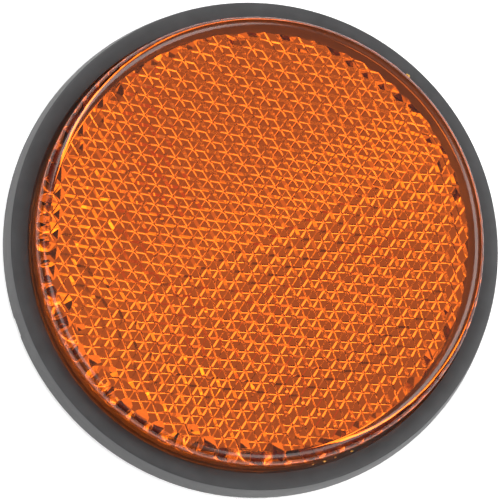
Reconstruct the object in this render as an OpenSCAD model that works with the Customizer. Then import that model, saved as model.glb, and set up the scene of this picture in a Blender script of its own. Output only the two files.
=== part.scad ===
// Round stick-on reflector for a bicycle or other light vehicle.
// An amber lens with corner-cube prisms moulded into its back stands proud of a black dish.
// The dish carries a disc of double-sided foam tape in a shallow recess at its back.
// Millimetres. +Z points out of the front, and the origin is the centre of the tape's face.

/* [Lens] */
// Outer diameter of the lens
lens_d = 54.9; // [40:0.1:80]
// How far the front of the lens stands out of the housing's rim
lens_proud = 5.1; // [3:0.1:6]
// Radius of the rounded edge round the front of the lens
front_round = 1.4; // [0.5:0.1:2.2]
// Solid thickness between the front face and the tops of the notches between the prisms
front_t = 2.8; // [2.4:0.1:3.6]
// Wall of the skirt that carries the front
skirt_t = 1.75; // [1.2:0.05:2.6]
// Chamfer on the two edges of the skirt's foot
foot_chamfer = 0.25; // [0.1:0.05:0.4]

/* [Prisms] */
// Width of one six-sided prism pin across its flats
pin_pitch = 2.4; // [2.1:0.1:3]
// Direction of the pin rows, and of the line where the two halves of the field meet
field_turn = 25; // [0:1:60]

/* [Housing] */
// Width of the rim's front face, from the gap to its outer edge
rim_w = 2.1; // [1.4:0.1:5]
// Height of the housing from its back to the front of its rim
housing_h = 4.1; // [3.6:0.1:6]
// How much further out the back edge lies than the rim's edge, all round
base_flare = 0.6; // [0.2:0.05:1.2]
// Thickness of the housing's floor
floor_t = 1.6; // [1.4:0.1:2.2]
// Rounding of the rim's outer edge
rim_round = 0.2; // [0.1:0.05:0.6]
// Rounding of the rim's inner edge
bore_round = 0.1; // [0.05:0.05:0.5]
// Rounding of the housing's back edge
back_round = 0.3; // [0.1:0.05:0.5]

/* [Fit] */
// Gap between the lens and the rim, all round
lens_gap = 0.45; // [0.2:0.05:0.8]
// Depth of the groove in the floor that the skirt's foot stands in
seat_depth = 0.5; // [0.3:0.05:0.7]
// Clearance between the foot and each side of that groove
seat_clear = 0.1; // [0.05:0.01:0.15]

/* [Foam tape] */
// Diameter of the foam disc
pad_d = 52; // [34:0.5:54]
// Thickness of the foam disc
pad_t = 1; // [0.8:0.1:2]
// Depth of the recess that locates the disc
recess_depth = 0.4; // [0.2:0.05:0.5]
// Gap between the disc and the side of that recess
recess_gap = 0.4; // [0.2:0.1:1]

/* [Gate mark] */
// Width of the flat left at the foot of the wall where the moulding gate was cut off
gate_w = 2.3; // [1:0.1:4]
// Height of that flat above the back edge
gate_h = 0.9; // [0.5:0.1:1.5]
// Depth that the flat cuts into the wall
gate_depth = 0.18; // [0.05:0.01:0.3]
// Direction of the gate, turned from +X
gate_angle = 199; // [0:1:359]

/* [Hidden] */
$fn = 96;
eps = 0.01;

lens_r = lens_d / 2;
skirt_in_r = lens_r - skirt_t;
bore_r = lens_r + lens_gap;
rim_r = bore_r + rim_w;
base_r = rim_r + base_flare;

back_z = pad_t - recess_depth;
floor_z = back_z + floor_t;
foot_z = floor_z - seat_depth;
rim_z = back_z + housing_h;
lens_z = rim_z + lens_proud;
notch_z = lens_z - front_t;

// Each pin ends in a cube's corner, so its flats fix how deep the corner reaches.
pin_side = pin_pitch / sqrt(3);
pin_step = pin_side / sqrt(2);
tip_z = notch_z - 2 * pin_step;
row_pitch = pin_pitch * sqrt(3) / 2;

// The pins run a little way into the skirt and the front wall, which they are moulded with.
pin_root = min(1, skirt_t * 0.6);
pin_cover = 0.6;
field_r = skirt_in_r + pin_root;
keep_r = field_r + pin_side;
row_count = ceil(keep_r / row_pitch);
column_count = ceil(keep_r / pin_pitch) + 1;

// Lean of the housing's outer wall, from the upright.
wall_lean = atan(base_flare / housing_h);

// Points are put on a fine grid, so that neighbouring pins share them exactly.
function on_grid(v) = round(v * 10000) / 10000;
function spot(x, y, z) = [on_grid(x), on_grid(y), on_grid(z)];

// Centres of the pins, in staggered rows on both sides of the dividing line.
function pin_centre(row, column) =
    [(column + (row % 2 == 0 ? 0 : 0.5)) * pin_pitch, (row + 0.5) * row_pitch];
function is_kept(c) = norm(c) < keep_r;
pin_centres = [
    for (row = [-row_count : row_count - 1], column = [-column_count : column_count])
        if (is_kept(pin_centre(row, column))) pin_centre(row, column)
];

// The two halves of the field carry the same cube corner, turned half a turn.
function is_upper(c) = c[1] > 0;
function is_low_corner(c, k) = (k % 2 == 0) == is_upper(c);
function corner_z(c, k) = is_low_corner(c, k) ? tip_z + pin_step : notch_z;
function beside(c, k) = c + pin_pitch * [cos(60 * k + 60), sin(60 * k + 60)];
function turns_there(c, k) = is_kept(beside(c, k)) && is_upper(beside(c, k)) != is_upper(c);
function corner_xy(c, k) = c + pin_side * [cos(60 * k + 30), sin(60 * k + 30)];
function corner(c, k, z) = spot(corner_xy(c, k)[0], corner_xy(c, k)[1], z);
function halfway(c, k) =
    let (m = (corner_xy(c, k) + corner_xy(c, k + 1)) / 2)
    spot(m[0], m[1], (tip_z + pin_step + notch_z) / 2);

// A pin's points: its tip, then six each of end corners, root corners, notch tops and side middles.
function pin_points(c) = concat(
    [spot(c[0], c[1], tip_z)],
    [for (k = [0:5]) corner(c, k, corner_z(c, k))],
    [for (k = [0:5]) corner(c, k, notch_z + pin_cover)],
    [for (k = [0:5]) corner(c, k, notch_z)],
    [for (k = [0:5]) halfway(c, k)]
);
pin_point_count = 25;
function end_corner(k) = 1 + k % 6;
function root_corner(k) = 7 + k % 6;
function notch_top(k) = 13 + k % 6;
function side_middle(k) = 19 + k % 6;

// One square face of the cube corner, with the middle of a side where the halves cross over.
function cube_face(c, k) = concat(
    [0, end_corner(k)],
    turns_there(c, k) ? [side_middle(k)] : [],
    [end_corner(k + 1)],
    turns_there(c, (k + 1) % 6) ? [side_middle(k + 1)] : [],
    [end_corner(k + 2)]
);

// Whole side of a pin at the edge of the field, with the notch level marked on its low corner.
function outer_side(c, k) =
    is_low_corner(c, k)
    ? [root_corner(k + 1), end_corner(k + 1), end_corner(k), notch_top(k), root_corner(k)]
    : [root_corner(k), root_corner(k + 1), notch_top(k + 1), end_corner(k + 1), end_corner(k)];

// Side of a pin that is half open, along the line where the two halves meet.
function crossing_side(c, k) =
    is_low_corner(c, k)
    ? [notch_top(k), side_middle(k), end_corner(k)]
    : [notch_top(k + 1), end_corner(k + 1), side_middle(k)];

function pin_faces(c) = concat(
    [[for (k = [5:-1:0]) root_corner(k)]],
    [for (k = [0:5]) if (is_low_corner(c, k)) cube_face(c, k)],
    [for (k = [0:5]) if (!is_kept(beside(c, k))) outer_side(c, k)],
    [for (k = [0:5]) if (turns_there(c, k)) crossing_side(c, k)]
);

// Block of pins: continuous stepped cubes, closed by the pins' roots and outer sides.
module pin_block() {
    points = [for (c = pin_centres) each pin_points(c)];
    faces = [
        for (n = [0 : len(pin_centres) - 1], face = pin_faces(pin_centres[n]))
            [for (index = face) index + n * pin_point_count]
    ];
    rotate([0, 0, field_turn]) polyhedron(points = points, faces = faces, convexity = 10);
}

module prism_field() {
    intersection() {
        pin_block();
        translate([0, 0, tip_z - 1]) cylinder(r = field_r, h = notch_z + pin_cover + 2 - tip_z);
    }
}

// Section of the lens: front wall, skirt and the rounded edge between them.
module lens_section() {
    difference() {
        union() {
            translate([0, foot_z]) square([lens_r, lens_z - front_round - foot_z]);
            translate([0, foot_z]) square([lens_r - front_round, lens_z - foot_z]);
            intersection() {
                translate([lens_r - front_round, lens_z - front_round]) circle(r = front_round);
                translate([0, foot_z]) square([lens_r + 1, lens_z + 1 - foot_z]);
            }
        }
        translate([-1, foot_z - 1]) square([skirt_in_r + 1, notch_z + 1 - foot_z]);
        translate([lens_r, foot_z]) rotate(45) square(foot_chamfer * sqrt(2), center = true);
        translate([skirt_in_r, foot_z]) rotate(45) square(foot_chamfer * sqrt(2), center = true);
    }
}

module lens() {
    color([1, 0.45, 0.05, 0.9]) union() {
        rotate_extrude() lens_section();
        prism_field();
    }
}

// Corner of a section: a circle that touches the level line and the leaning wall beside it.
module wall_edge(level, r, up) {
    centre_z = level - up * r;
    centre_x = rim_r + (rim_z - centre_z) * tan(wall_lean) - r / cos(wall_lean);
    translate([centre_x, centre_z]) circle(r = r);
}
function edge_inset(r, up) = r * (1 - up * sin(wall_lean)) / cos(wall_lean);
function wall_x(z) = rim_r + (rim_z - z) * tan(wall_lean);
function edge_level(level, r, up) = level - up * r * (1 - up * sin(wall_lean));

// Section of the housing: floor, leaning wall, rim and the groove for the skirt's foot.
module housing_section() {
    difference() {
        union() {
            polygon([
                [0, back_z],
                [base_r - edge_inset(back_round, -1), back_z],
                [wall_x(edge_level(back_z, back_round, -1)), edge_level(back_z, back_round, -1)],
                [wall_x(edge_level(rim_z, rim_round, 1)), edge_level(rim_z, rim_round, 1)],
                [rim_r - edge_inset(rim_round, 1), rim_z],
                [bore_r + bore_round, rim_z],
                [bore_r, rim_z - bore_round],
                [bore_r, floor_z],
                [0, floor_z]
            ]);
            wall_edge(rim_z, rim_round, 1);
            wall_edge(back_z, back_round, -1);
            translate([bore_r + bore_round, rim_z - bore_round]) circle(r = bore_round);
        }
        translate([skirt_in_r - seat_clear, foot_z])
            square([skirt_t + 2 * seat_clear, floor_z + eps - foot_z]);
        translate([-1, back_z - 1]) square([pad_d / 2 + recess_gap + 1, recess_depth + 1]);
    }
}

module gate_cut() {
    rotate([0, 0, gate_angle])
        translate([base_r - gate_depth, -gate_w / 2, back_z - 1])
            cube([2, gate_w, gate_h + 1]);
}

module housing() {
    color([0.2, 0.2, 0.21]) difference() {
        rotate_extrude() housing_section();
        gate_cut();
    }
}

module adhesive_pad() {
    color([0.55, 0.55, 0.56]) cylinder(d = pad_d, h = pad_t);
}

housing();
lens();
adhesive_pad();
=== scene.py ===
# Round stick-on reflector: amber prism lens in a black dish, on a disc of foam tape
import bpy
import bmesh
import math
from mathutils import Matrix, Quaternion, Vector


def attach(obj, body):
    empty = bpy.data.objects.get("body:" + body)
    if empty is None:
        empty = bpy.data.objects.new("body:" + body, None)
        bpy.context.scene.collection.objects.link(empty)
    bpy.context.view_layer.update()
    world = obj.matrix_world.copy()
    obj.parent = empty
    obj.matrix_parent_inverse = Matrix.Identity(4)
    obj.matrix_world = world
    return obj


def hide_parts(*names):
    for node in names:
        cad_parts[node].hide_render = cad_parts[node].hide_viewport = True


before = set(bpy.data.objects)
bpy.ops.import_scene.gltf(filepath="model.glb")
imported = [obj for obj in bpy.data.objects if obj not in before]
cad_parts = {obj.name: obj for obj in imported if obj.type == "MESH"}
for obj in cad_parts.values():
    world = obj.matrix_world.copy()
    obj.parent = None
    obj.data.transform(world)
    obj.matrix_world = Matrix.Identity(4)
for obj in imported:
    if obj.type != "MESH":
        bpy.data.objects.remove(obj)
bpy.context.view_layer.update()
mm = 0.001  # the part's sizes are in millimetres until they meet this


def addPiece(name, bm):  # a finished bmesh becomes a piece with its place in its mesh
    mesh = bpy.data.meshes.new(name)
    bm.to_mesh(mesh)
    bm.free()
    piece = bpy.data.objects.new(name, mesh)
    bpy.context.scene.collection.objects.link(piece)
    return piece


def spinSection(points, steps):  # turns a closed section about Z
    bm = bmesh.new()
    verts = [bm.verts.new((x * mm, 0, z * mm)) for x, z in points]
    edges = [bm.edges.new((a, b)) for a, b in zip(verts, verts[1:])]
    bmesh.ops.spin(bm, geom=verts + edges, cent=(0, 0, 0), axis=(0, 0, 1), dvec=(0, 0, 0),
                   angle=math.tau, steps=steps, use_merge=True, use_duplicate=False)
    bmesh.ops.remove_doubles(bm, verts=bm.verts, dist=1e-7)
    bmesh.ops.recalc_face_normals(bm, faces=bm.faces)
    return bm


def arc(centre, radius, start, end, count):  # points along a round corner of a section
    turns = [math.radians(start + (end - start) * i / count) for i in range(count + 1)]
    return [(centre[0] + radius * math.cos(t), centre[1] + radius * math.sin(t)) for t in turns]


def turnAboutZ(bm, verts, angle):
    bmesh.ops.rotate(bm, verts=verts, cent=(0, 0, 0), matrix=Matrix.Rotation(angle, 3, "Z"))


def applyBoolean(piece, other, operation):
    cut = piece.modifiers.new("join", "BOOLEAN")
    cut.operation = operation
    cut.solver = "EXACT"
    cut.object = other
    graph = bpy.context.evaluated_depsgraph_get()
    solid = bpy.data.meshes.new_from_object(piece.evaluated_get(graph))
    piece.modifiers.clear()
    piece.data = solid
    bpy.data.objects.remove(other)


def newMaterial(name):
    material = bpy.data.materials.new(name)
    material.use_nodes = True
    tree = material.node_tree
    return material, tree, tree.nodes["Principled BSDF"]


def feed(tree, socket, value):  # value: another node's socket or a plain value
    if isinstance(value, bpy.types.NodeSocket):
        tree.links.new(value, socket)
    else:
        socket.default_value = value


def addNode(tree, kind, operation=None, **values):  # values: input name or number to value
    node = tree.nodes.new(kind)
    if operation:
        node.operation = operation
    for key, value in values.items():
        numbered = key.startswith("in") and key[2:].isdigit()
        feed(tree, node.inputs[int(key[2:]) if numbered else key.replace("_", " ")], value)
    return node


def addMath(tree, operation, *terms):
    node = addNode(tree, "ShaderNodeMath", operation)
    for socket, term in zip(node.inputs, terms):
        feed(tree, socket, term)
    return node.outputs[0]


def addRange(tree, value, **reach):
    return addNode(tree, "ShaderNodeMapRange", Value=value, **reach).outputs["Result"]


def addRamp(tree, factor, first, last, end=1.0):
    node = addNode(tree, "ShaderNodeValToRGB", Fac=factor)
    node.color_ramp.elements[0].color = first
    node.color_ramp.elements[1].color = last
    node.color_ramp.elements[1].position = end
    return node.outputs["Color"]


def mixColours(tree, factor, first, second):
    node = tree.nodes.new("ShaderNodeMix")
    node.data_type = "RGBA"
    for place, value in ((0, factor), (6, first), (7, second)):
        feed(tree, node.inputs[place], value)
    return node.outputs[2]


def addNoise(tree, place, scale, detail=2.0):
    return addNode(tree, "ShaderNodeTexNoise", Vector=place, Scale=scale, Detail=detail).outputs["Fac"]


def addBump(tree, shader, height, strength, depth):  # depth in mm
    bump = addNode(tree, "ShaderNodeBump", Strength=strength, Distance=depth * mm, Height=height)
    tree.links.new(bump.outputs["Normal"], shader.inputs["Normal"])


def objectPlace(tree):
    return tree.nodes.new("ShaderNodeTexCoord").outputs["Object"]


def lightPath(tree):
    return tree.nodes.new("ShaderNodeLightPath").outputs


def setGlow(tree, shader, colour, strength):
    feed(tree, shader.inputs["Emission Color"], colour)
    feed(tree, shader.inputs["Emission Strength"], 0.0)
    feed(tree, shader.inputs["Emission Strength"], strength)


lensSet = {
    "radius": 27.45,
    "skirtRadius": 25.7,  # inner face of the skirt
    "frontRound": 1.4,
    "roundSteps": 10,
    "footZ": 1.75,  # a hair above the groove's bottom
    "frontZ": 9.8,
    "notchZ": 7.0,  # tops of the notches between the prism pins
    "wallStart": 0.3,  # how far above the notches the front wall starts, inside the prism block
    "blockCover": 0.6,  # how far above the notches the prism block reaches
    "footChamfer": 0.25,
    "pinPitch": 2.4,
    "fieldTurn": math.radians(25),
    "halfOverlap": 0.002,  # keeps the two halves' walls out of one plane, for clean joining
    "edgeWear": 0.16,  # how far the rounding of a prism crease reaches
    "wearSegments": 4,
    "clearFoot": 0.4,  # faces whose middle lies lower than this above the foot are undyed
    "steps": 256,
    "dye": (0.88, 0.14, 0.009, 1),  # acts on the outer faces, where all light comes in and goes out
    "undyed": (1, 1, 1, 1),
    "refraction": 1.49,
    # the glow stands for light that has met more prism faces than a render follows
    "glowAfter": 3.5,  # reflections
    "glowFar": (0.366, 0.14, 0.033, 1),
    "glowNear": (0.975, 0.44, 0.044, 1),  # close to the line where the two halves meet
    "glowReach": (-6.0, 3.6),  # how far from that line the near colour goes
    "glowFade": 1.2,
}


def pinEnd(s, upper):  # the end of one pin: a cube's corner, with every other outer corner low
    side = s["pinPitch"] / math.sqrt(3)
    step = side / math.sqrt(2)
    tipZ = s["notchZ"] - 2 * step
    pin = bmesh.new()
    bmesh.ops.create_circle(pin, cap_ends=True, segments=6, radius=side * mm)
    bmesh.ops.poke(pin, faces=pin.faces[:])
    for v in pin.verts:
        turn = round(math.degrees(math.atan2(v.co.y, v.co.x)) - 30) % 360
        low = (turn // 60) % 2 == (0 if upper else 1)
        centre = v.co.xy.length < 1e-6
        v.co.z = (tipZ if centre else tipZ + step if low else s["notchZ"]) * mm
    mesh = bpy.data.meshes.new("pin")
    pin.to_mesh(mesh)
    pin.free()
    return mesh


def prismHalf(s, upper):  # the pins of one half as a closed block, trimmed inside the skirt
    rowPitch = s["pinPitch"] * math.sqrt(3) / 2
    rootRadius = (s["radius"] + s["skirtRadius"]) / 2
    reach = rootRadius + s["pinPitch"] / math.sqrt(3)
    rows = math.ceil(reach / rowPitch)
    columns = math.ceil(reach / s["pinPitch"]) + 1
    mesh = pinEnd(s, upper)
    half = bmesh.new()
    for row in range(0 if upper else -rows, rows if upper else 0):
        for column in range(-columns, columns + 1):
            x = (column + (0 if row % 2 == 0 else 0.5)) * s["pinPitch"]
            y = (row + 0.5) * rowPitch + (0 if upper else s["halfOverlap"])
            if math.hypot(x, y) > reach:
                continue
            before = len(half.verts)
            half.from_mesh(mesh)
            half.verts.ensure_lookup_table()
            bmesh.ops.translate(half, verts=half.verts[before:], vec=(x * mm, y * mm, 0))
    bmesh.ops.remove_doubles(half, verts=half.verts, dist=1e-6)
    bmesh.ops.dissolve_limit(half, angle_limit=math.radians(1), verts=half.verts, edges=half.edges)
    top = bmesh.ops.extrude_face_region(half, geom=half.faces[:])
    for v in top["geom"]:
        if isinstance(v, bmesh.types.BMVert):
            v.co.z = (s["notchZ"] + s["blockCover"]) * mm
    bmesh.ops.recalc_face_normals(half, faces=half.faces)
    clip = bmesh.new()
    bmesh.ops.create_cone(clip, cap_ends=True, segments=s["steps"], radius1=rootRadius * mm,
                          radius2=rootRadius * mm, depth=20 * mm)  # taller than the block
    prisms = addPiece("prisms", half)
    applyBoolean(prisms, addPiece("clip", clip), "INTERSECT")
    return prisms


def lensBody(s):  # the front wall with its skirt
    r, z = s["radius"], s["frontZ"]
    f, c = s["frontRound"], s["footChamfer"]
    wallZ = s["notchZ"] + s["wallStart"]
    section = [(0, z)]
    section += reversed(arc((r - f, z - f), f, 0, 90, s["roundSteps"]))
    section += [(r, s["footZ"] + c), (r - c, s["footZ"]), (s["skirtRadius"] + c, s["footZ"])]
    section += [(s["skirtRadius"], s["footZ"] + c), (s["skirtRadius"], wallZ), (0, wallZ)]
    return addPiece("amberLens", spinSection(section, s["steps"]))


def isCrease(edge, length, top):  # one of the three creases that run down to each pin's tip
    lengthSlack, angleSlack = 2e-5, 0.02
    return (edge.is_manifold and edge.is_convex
            and abs(edge.calc_length() - length) < lengthSlack
            and max(v.co.z for v in edge.verts) < top
            and abs(edge.calc_face_angle() - math.pi / 2) < angleSlack)


def roundCreases(bm, s):
    length, top = s["pinPitch"] / math.sqrt(2) * mm, s["notchZ"] * mm
    creases = [edge for edge in bm.edges if isCrease(edge, length, top)]
    bmesh.ops.bevel(bm, geom=creases, offset=s["edgeWear"] * mm, offset_type="OFFSET",
                    segments=s["wearSegments"], profile=0.5, affect="EDGES",
                    clamp_overlap=False, material=-1)
    bmesh.ops.remove_doubles(bm, verts=bm.verts, dist=1e-7)


def markFaces(bm, s):  # the round walls are smooth, and faces inside and at the foot are undyed
    margin = 0.05
    for face in bm.faces:
        centre = face.calc_center_median()
        reach = centre.xy.length
        level, front = abs(face.normal.z) >= 0.999, face.normal.z >= 0.9
        face.smooth = not level and reach > (s["skirtRadius"] - margin) * mm
        inside = not front and reach < (s["skirtRadius"] + margin) * mm
        atFoot = centre.z < (s["footZ"] + s["clearFoot"]) * mm
        face.material_index = 1 if inside or atFoot else 0


def amberLens(s):
    lens = lensBody(s)
    for half in [prismHalf(s, upper) for upper in (True, False)]:
        applyBoolean(lens, half, "UNION")
    bm = bmesh.new()
    bm.from_mesh(lens.data)
    roundCreases(bm, s)
    markFaces(bm, s)
    turnAboutZ(bm, bm.verts, s["fieldTurn"])
    bm.to_mesh(lens.data)
    bm.free()
    return lens


def clearMaterial(name, colour, s):
    material, tree, shader = newMaterial(name)
    shader.inputs["Base Color"].default_value = colour
    shader.inputs["Roughness"].default_value = 0.0
    shader.inputs["IOR"].default_value = s["refraction"]
    shader.inputs["Transmission Weight"].default_value = 1.0
    normal = (-math.sin(s["fieldTurn"]) / mm, math.cos(s["fieldTurn"]) / mm, 0)
    across = addNode(tree, "ShaderNodeVectorMath", "DOT_PRODUCT", in0=objectPlace(tree),
                     in1=normal).outputs["Value"]  # distance from the halves' line, in mm
    (low, high), fade = s["glowReach"], s["glowFade"]
    above = addRange(tree, across, From_Min=high, From_Max=high + fade)
    under = addRange(tree, across, From_Min=low, From_Max=low - fade)
    far = addMath(tree, "MAXIMUM", above, under)
    late = addMath(tree, "GREATER_THAN", lightPath(tree)["Glossy Depth"], s["glowAfter"])
    setGlow(tree, shader, mixColours(tree, far, s["glowNear"], s["glowFar"]), late)
    return material


housingSet = {
    "rimRadius": 30.0,  # outer edge of the rim's front face
    "baseRadius": 30.6,  # outer edge of the back
    "boreRadius": 27.9,  # inner wall of the dish
    "backZ": 0.6,
    "floorZ": 2.2,
    "rimZ": 4.7,
    "rimRound": 0.2,
    "boreRound": 0.1,
    "backRound": 0.3,
    "roundSteps": (6, 4, 5),  # on the rim, the bore and the back
    "groove": (25.6, 27.55, 1.7),  # inner radius, outer radius and bottom of the skirt's groove
    "recess": (26.4, 1.0),  # radius and height of the pad's recess
    "gateAngle": math.radians(199),
    "gateWidth": 2.3,
    "gateHeight": 0.9,
    "gateDepth": 0.18,
    "steps": 256,
    "dark": (0.022, 0.022, 0.023, 1),
    "light": (0.032, 0.032, 0.034, 1),
    "mottleScale": 420.0,
    "mottleRange": (0.3, 0.7),
    "roughness": (0.3, 0.4),
    "grainScale": 5200.0,
    "grainStrength": 0.12,
    "grainDepth": 0.04,
    "dimPaintedLight": (0.03, 0.03, 0.03, 1),  # painted light inside the dish: its inner wall, floor and groove are painted paler than the plastic, for light the lens lets in there
    "thickFilm": (0.1, 0.1, 0.1, 1),
    "filmReach": (-25, 20),  # sums of x and y where the painted light starts and stops growing brighter
    "filmSlack": 0.08,  # how far past the bore's radius the painted light's zone goes
    "filmDrop": 0.2,  # how far under the rim and the groove's bottom that zone's ends lie
    "innerGlow": 0.05,  # light that the prisms scatter inside the dish, for rays through the lens
    "deepGlow": 0.4,  # what is added for those that have met prism faces more than once
    "glowColour": (1, 0.5, 0.3, 1),
}


def gateBlock(s):  # cuts the flat where the moulding's gate was
    spare = 1  # the block stands at least this far past the part
    size = (2 * spare * mm, s["gateWidth"] * mm, (s["gateHeight"] + spare) * mm)
    place = ((s["baseRadius"] - s["gateDepth"] + spare) * mm, 0,
             (s["backZ"] + (s["gateHeight"] - spare) / 2) * mm)
    block = bmesh.new()
    bmesh.ops.create_cube(block, size=1)
    bmesh.ops.scale(block, verts=block.verts, vec=size)
    bmesh.ops.translate(block, verts=block.verts, vec=place)
    turnAboutZ(block, block.verts, s["gateAngle"])
    return addPiece("gate", block)


def wallCorner(z, radius, lean, s):  # centre of a rounding that touches the leaning wall
    wallX = s["rimRadius"] + (s["rimZ"] - z) * math.tan(lean)
    return wallX - radius / math.cos(lean), z


def blackHousing(s):
    lean = math.atan((s["baseRadius"] - s["rimRadius"]) / (s["rimZ"] - s["backZ"]))
    rim, bore, back = s["rimRound"], s["boreRound"], s["backRound"]
    rimSteps, boreSteps, backSteps = s["roundSteps"]
    grooveIn, grooveOut, grooveZ = s["groove"]
    recessRadius, recessZ = s["recess"]
    backCorner = wallCorner(s["backZ"] + back, back, lean, s)
    rimCorner = wallCorner(s["rimZ"] - rim, rim, lean, s)
    boreCorner = (s["boreRadius"] + bore, s["rimZ"] - bore)
    section = [(0, recessZ), (recessRadius, recessZ), (recessRadius, s["backZ"])]
    section += arc(backCorner, back, -90, math.degrees(lean), backSteps)
    section += arc(rimCorner, rim, math.degrees(lean), 90, rimSteps)
    section += arc(boreCorner, bore, 90, 180, boreSteps)
    section += [(s["boreRadius"], s["floorZ"]), (grooveOut, s["floorZ"]), (grooveOut, grooveZ)]
    section += [(grooveIn, grooveZ), (grooveIn, s["floorZ"]), (0, s["floorZ"])]
    housing = addPiece("blackHousing", spinSection(section, s["steps"]))
    applyBoolean(housing, gateBlock(s), "DIFFERENCE")
    return housing


def insideDish(tree, x, y, z, s):  # 1 on the inner wall, the floor and the groove, else 0
    reach = addMath(tree, "MULTIPLY_ADD", y, y, addMath(tree, "MULTIPLY", x, x))
    within = addMath(tree, "LESS_THAN", reach, ((s["boreRadius"] + s["filmSlack"]) * mm) ** 2)
    below = addMath(tree, "LESS_THAN", z, (s["rimZ"] - s["filmDrop"]) * mm)
    above = addMath(tree, "GREATER_THAN", z, (s["groove"][2] - s["filmDrop"]) * mm)
    return addMath(tree, "MULTIPLY", addMath(tree, "MULTIPLY", below, above), within)


def dishGlow(tree, inner, s):
    path = lightPath(tree)
    through = addMath(tree, "GREATER_THAN", path["Transmission Depth"], 0.5)
    deep = addMath(tree, "GREATER_THAN", path["Glossy Depth"], 1.5)
    plain = addMath(tree, "MULTIPLY", inner, s["innerGlow"])
    return addMath(tree, "MULTIPLY", through,
                   addMath(tree, "MULTIPLY_ADD", deep, s["deepGlow"], plain))


def blackPlastic(s):
    material, tree, shader = newMaterial("blackPlastic")
    coords = objectPlace(tree)
    mottle = addNoise(tree, coords, s["mottleScale"], 3.0)
    least, most = s["mottleRange"]
    tone = addRange(tree, mottle, From_Min=least, From_Max=most)
    body = addRamp(tree, tone, s["dark"], s["light"])
    x, y, z = addNode(tree, "ShaderNodeSeparateXYZ", Vector=coords).outputs
    inner = insideDish(tree, x, y, z, s)
    # painted light: inside the dish the plastic is painted paler, more so towards +X and +Y, for light
    # the lens sends in there
    start, end = s["filmReach"]
    paintedLightRise = addRange(tree, addMath(tree, "ADD", x, y), From_Min=start * mm, From_Max=end * mm)
    film = addRamp(tree, paintedLightRise, s["dimPaintedLight"], s["thickFilm"])
    tree.links.new(mixColours(tree, inner, body, film), shader.inputs["Base Color"])
    setGlow(tree, shader, s["glowColour"], dishGlow(tree, inner, s))
    grain = addNoise(tree, coords, s["grainScale"])
    addBump(tree, shader, grain, s["grainStrength"], s["grainDepth"])
    smooth, matt = s["roughness"]
    rough = addRange(tree, mottle, To_Min=smooth, To_Max=matt)
    tree.links.new(rough, shader.inputs["Roughness"])
    return material


linerSet = {
    "radius": 24.6,
    "thickness": 0.06,
    "steps": 96,
    "dark": (0.46, 0.46, 0.45, 1),
    "light": (0.56, 0.56, 0.55, 1),
    "mottleScale": 300.0,
    "roughness": 0.6,
}


def paleLiner(s, z):  # the pale disc that shows between the pins, on the dish's floor at z
    r, top = s["radius"], z + s["thickness"]
    return addPiece("paleLiner", spinSection([(0, z), (r, z), (r, top), (0, top)], s["steps"]))


def mottledMaterial(name, s):
    material, tree, shader = newMaterial(name)
    mottle = addNoise(tree, objectPlace(tree), s["mottleScale"])
    tree.links.new(addRamp(tree, mottle, s["dark"], s["light"]), shader.inputs["Base Color"])
    shader.inputs["Roughness"].default_value = s["roughness"]
    return material


padSet = {
    "radius": 26.0,
    "thickness": 1.0,
    "inset": 0.12,  # how far the cut edge lies inside that radius at mid height
    "pinch": 0.6,  # how much further in it lies at the two skins, as a share of the inset
    "skin": 0.05,  # depth below the two faces that stays even
    "levels": 10,
    "unevenness": 0.0009,  # as a share of the radius
    "waves": [(1, 23, 0, 0), (0.6, 41, 1.3, 0), (0.5, 67, 0, 5)],  # height, count, shift, lean
    "steps": 192,
    "dark": (0.16, 0.16, 0.17, 1),  # at the middle of a cell
    "light": (0.34, 0.34, 0.35, 1),
    "lightFrom": 0.55,  # distance from there, in cells
    "cellScale": 3400.0,
    "cellStrength": 0.5,
    "cellDepth": 0.12,
    "roughness": 0.85,
}


def foamPad(s):
    t, n = s["thickness"], s["levels"]
    side = [(s["radius"] - s["inset"] * (1 + s["pinch"] * (2 * i / n - 1) ** 2), t * i / n)
            for i in range(n + 1)]
    bm = spinSection([(0, 0)] + side + [(0, t)], s["steps"])
    for v in bm.verts:  # the die-cut edge isn't perfectly even
        if s["skin"] * mm < v.co.z < (t - s["skin"]) * mm:
            turn = math.atan2(v.co.y, v.co.x)
            wave = sum(height * math.sin(count * turn + shift + lean * v.co.z / mm)
                       for height, count, shift, lean in s["waves"])
            v.co.xy *= 1 + wave * s["unevenness"]
    return addPiece("foamPad", bm)


def foamMaterial(s):
    material, tree, shader = newMaterial("foamTape")
    cells = addNode(tree, "ShaderNodeTexVoronoi", Vector=objectPlace(tree),
                    Scale=s["cellScale"]).outputs["Distance"]
    tone = addRamp(tree, cells, s["dark"], s["light"], s["lightFrom"])
    tree.links.new(tone, shader.inputs["Base Color"])
    addBump(tree, shader, cells, s["cellStrength"], s["cellDepth"])
    shader.inputs["Roughness"].default_value = s["roughness"]
    return material


crumbSet = {  # gold flash left in the gap
    "rows": [  # angle in degrees, radius, height and size
        (48, 28.55, 4.84, 0.5),
        (6.5, 27.66, 4.2, 0.28),
        (-4, 27.64, 4.25, 0.24),
        (-76, 27.62, 4.2, 0.22),
        (-73, 27.64, 4.3, 0.30),
        (-70, 27.6, 4.15, 0.24),
        (-65.5, 27.66, 4.3, 0.3),
    ],
    "stretch": (0.7, 1.3),  # towards the middle and along the gap
    "lump": 0.25,
    "lumpWaves": (19000, 15000),  # per metre
    "dark": (0.75, 0.36, 0.05, 1),
    "light": (0.95, 0.62, 0.16, 1),
    "mottleScale": 9000.0,
    "roughness": 0.25,
}


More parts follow.
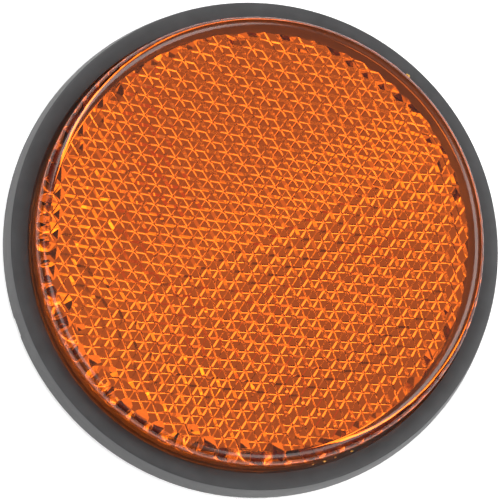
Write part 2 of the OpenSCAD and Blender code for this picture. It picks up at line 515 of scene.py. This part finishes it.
def goldCrumbs(s):
    bm = bmesh.new()
    (narrow, wide), (across, along) = s["stretch"], s["lumpWaves"]
    for count, (angle, radius, z, size) in enumerate(s["rows"]):
        crumb = bmesh.ops.create_icosphere(bm, subdivisions=2, radius=size / 2 * mm)["verts"]
        for v in crumb:
            wave = math.sin(v.co.x * across + count) * math.sin(v.co.y * along + 2 * count)
            v.co = Vector((v.co.x * narrow, v.co.y * wide, v.co.z)) * (1 + s["lump"] * wave)
        bmesh.ops.translate(bm, verts=crumb, vec=(radius * mm, 0, z * mm))
        turnAboutZ(bm, crumb, math.radians(angle))
    return addPiece("goldCrumbs", bm)


def finishPiece(piece, finishes, node=None, sharp=None):
    if sharp is not None:
        for face in piece.data.polygons:
            face.use_smooth = True
        piece.data.set_sharp_from_angle(angle=math.radians(sharp))
    for material in finishes:
        piece.data.materials.append(material)
    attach(piece, "root")
    if node:
        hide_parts(node)
    print(piece.name, "made:", len(piece.data.polygons), "faces,", len(finishes), "finishes")


dyed = clearMaterial("amberAcrylic", lensSet["dye"], lensSet)
undyed = clearMaterial("clearPrisms", lensSet["undyed"], lensSet)
finishPiece(amberLens(lensSet), [dyed, undyed], "lens")
finishPiece(blackHousing(housingSet), [blackPlastic(housingSet)], "housing", sharp=25)
liner = paleLiner(linerSet, housingSet["floorZ"])
finishPiece(liner, [mottledMaterial("paleLiner", linerSet)], sharp=30)
pad = foamPad(padSet)
finishPiece(pad, [foamMaterial(padSet)], "adhesive_pad", sharp=40)
crumbs = goldCrumbs(crumbSet)
finishPiece(crumbs, [mottledMaterial("goldFlash", crumbSet)], sharp=60)

cameraSet = {  # the photograph's angle, with image right along +X and image up along +Y
    "tilt": math.radians(12.87),
    "from": math.radians(224),
    "distance": 0.6,  # metres, along the view, from the middle of the rim
    "pixelsPerMetre": 8225.0,  # at the rim
    "imageWidth": 500,
    "imageHeight": 499,
    "rimCentre": (256.38, 244.45),  # pixel where the rim's centre lies
    "sensorWidth": 36,
    "clip": (0.01, 20),  # metres
}


def placeCamera(s, rimZ):
    scale, distance = s["pixelsPerMetre"], s["distance"]
    centreX, centreY = s["rimCentre"]
    turn = Quaternion((-math.sin(s["from"]), math.cos(s["from"]), 0), s["tilt"])
    offset = Vector(((s["imageWidth"] / 2 - centreX) / scale,
                     (centreY - s["imageHeight"] / 2) / scale, distance))
    data = bpy.data.cameras.new("camera")
    data.sensor_width = s["sensorWidth"]
    data.lens = scale * distance / s["imageWidth"] * s["sensorWidth"]
    data.clip_start, data.clip_end = s["clip"]
    camera = bpy.data.objects.new("camera", data)
    bpy.context.scene.collection.objects.link(camera)
    camera.rotation_mode = "QUATERNION"
    camera.rotation_quaternion = turn
    camera.location = Vector((0, 0, rimZ * mm)) + turn @ offset
    bpy.context.scene.camera = camera
    print("camera placed")


floorSet = {
    "halfWidth": 3,  # metres
    "colour": (0.9, 0.9, 0.9, 1),
    "lift": 0.35,  # seen by the eye alone, which makes the floor white and keeps the shadow
    "openRadius": 29,  # under the part, where light from below can reach its back
}


def whiteFloor(s):  # see-through from below
    bm = bmesh.new()
    bmesh.ops.create_grid(bm, x_segments=1, y_segments=1, size=s["halfWidth"])
    floor = addPiece("floor", bm)
    material, tree, shader = newMaterial("floor")
    shader.inputs["Base Color"].default_value = s["colour"]
    shader.inputs["Roughness"].default_value = 1.0
    lift = addMath(tree, "MULTIPLY", lightPath(tree)["Is Camera Ray"], s["lift"])
    setGlow(tree, shader, (1, 1, 1, 1), lift)
    reach = addNode(tree, "ShaderNodeVectorMath", "LENGTH", in0=objectPlace(tree)).outputs["Value"]
    under = addMath(tree, "LESS_THAN", reach, s["openRadius"] * mm)
    below = tree.nodes.new("ShaderNodeNewGeometry").outputs["Backfacing"]
    clear = tree.nodes.new("ShaderNodeBsdfTransparent").outputs["BSDF"]
    either = addNode(tree, "ShaderNodeMixShader", in0=addMath(tree, "MAXIMUM", below, under),
                     in1=shader.outputs["BSDF"], in2=clear).outputs["Shader"]
    tree.links.new(either, tree.nodes["Material Output"].inputs["Surface"])
    floor.data.materials.append(material)
    print("floor made")


studioSet = {  # a plain white room with a ring of light above, brightest in its four soft boxes
    "rows": [  # elevation in degrees, strength between the boxes and strength in them
        (0, 0.1, 0.1),
        (20, 0.15, 0.15),
        (40, 0.4, 0.6),
        (46, 0.9, 4.8),
        (57, 0.9, 4.8),
        (62, 0.42, 4.8),
        (68, 0.42, 4.8),
        (74, 0.42, 0.42),
    ],
    # each box: direction of its middle and half its width in degrees, and its share of light
    "boxes": [(0, 32, 1.0), (106, 32, 1.0), (193, 23, 0.6), (298, 27, 0.6)],
    "soft": 7,
    "fromBelow": 0.8,  # only reaches the part's back, through the opening in the floor
    "belowHeight": -0.02,  # sine of the elevation under which that light is on
}


def smoothStep(tree, value, start, end, rise):  # 0 up to start, and rise from end on
    node = addNode(tree, "ShaderNodeMapRange", Value=value, From_Min=start, From_Max=end, To_Max=rise)
    node.interpolation_type = "SMOOTHSTEP"
    return node.outputs["Result"]


def boxShare(tree, ray, s):  # 1 in a full box, 0 between the boxes
    level = addNode(tree, "ShaderNodeVectorMath", "MULTIPLY", in0=ray, in1=(1, 1, 0)).outputs[0]
    heading = addNode(tree, "ShaderNodeVectorMath", "NORMALIZE", in0=level).outputs[0]
    total = 0.0
    for direction, halfWidth, share in s["boxes"]:
        middle = (math.cos(math.radians(direction)), math.sin(math.radians(direction)), 0)
        facing = addNode(tree, "ShaderNodeVectorMath", "DOT_PRODUCT", in0=heading,
                         in1=middle).outputs["Value"]
        outer = math.cos(math.radians(halfWidth + s["soft"]))
        inner = math.cos(math.radians(halfWidth - s["soft"]))
        total = addMath(tree, "MAXIMUM", smoothStep(tree, facing, outer, inner, share), total)
    return total


def rowLevel(tree, height, rows, column):  # strength by height, in one column of the rows
    total = rows[0][column]
    for before, after in zip(rows, rows[1:]):
        start, end = math.sin(math.radians(before[0])), math.sin(math.radians(after[0]))
        step = smoothStep(tree, height, start, end, after[column] - before[column])
        total = addMath(tree, "ADD", step, total)
    return total


def studioWorld(s):
    world = bpy.data.worlds.new("studio")
    bpy.context.scene.world = world
    world.use_nodes = True
    tree = world.node_tree
    sky = tree.nodes["Background"]
    sky.inputs["Color"].default_value = (1, 1, 1, 1)
    ray = tree.nodes.new("ShaderNodeTexCoord").outputs["Generated"]
    height = addNode(tree, "ShaderNodeSeparateXYZ", Vector=ray).outputs["Z"]
    between, boxed = [rowLevel(tree, height, s["rows"], column) for column in (1, 2)]
    share = boxShare(tree, ray, s)
    above = addNode(tree, "ShaderNodeMix", in0=share, in2=between, in3=boxed).outputs[0]
    isBelow = addMath(tree, "LESS_THAN", height, s["belowHeight"])
    room = addMath(tree, "MULTIPLY_ADD", isBelow, s["fromBelow"], above)
    seen = addMath(tree, "MAXIMUM", room, lightPath(tree)["Is Camera Ray"])
    tree.links.new(seen, sky.inputs["Strength"])
    print("studio made")


placeCamera(cameraSet, housingSet["rimZ"])
whiteFloor(floorSet)
studioWorld(studioSet)

bpy.context.scene.view_settings.view_transform = "Standard"
